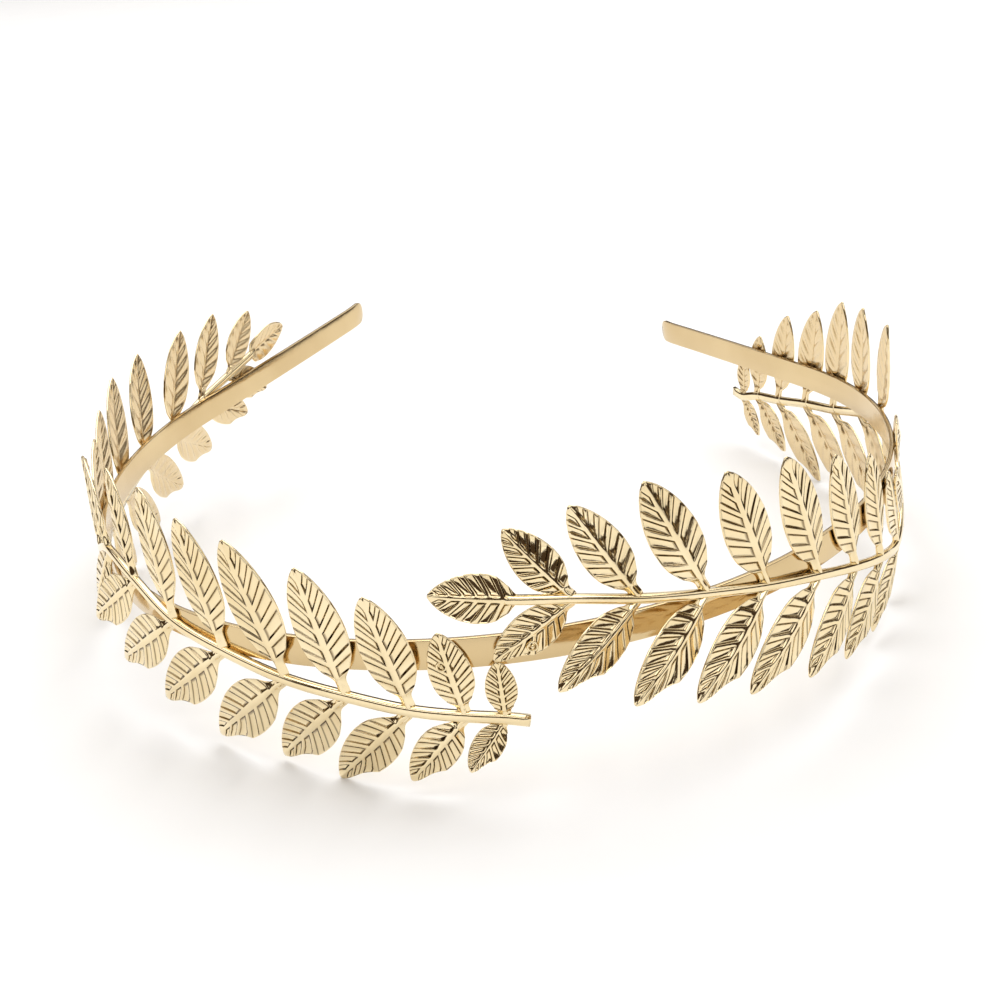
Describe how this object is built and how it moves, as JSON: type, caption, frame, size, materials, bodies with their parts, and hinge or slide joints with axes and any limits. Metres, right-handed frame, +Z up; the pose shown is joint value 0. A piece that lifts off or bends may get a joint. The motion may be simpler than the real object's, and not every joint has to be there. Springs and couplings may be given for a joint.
{
  "type": "leaf tiara",
  "caption": "Open U-shaped headband of thin gold-toned metal strip with two long stamped leaf sprays seated round its outer face.",
  "frame": {"origin": "on the surface that the tiara rests on, under the middle of its outline", "axes": "+X to the right as the front is seen, +Y from the front to the open back, +Z up"},
  "size_m": [0.1543, 0.1815, 0.0485],
  "materials": {
    "headband": "satin, pale gold plated",
    "left_leaf_spray": "polished, pale gold plated",
    "right_leaf_spray": "polished, pale gold plated"
  },
  "bodies": {
    "root": {"headband": "headband", "left_leaf_spray": "left_leaf_spray", "right_leaf_spray": "right_leaf_spray"}
  },
  "joints": []
}
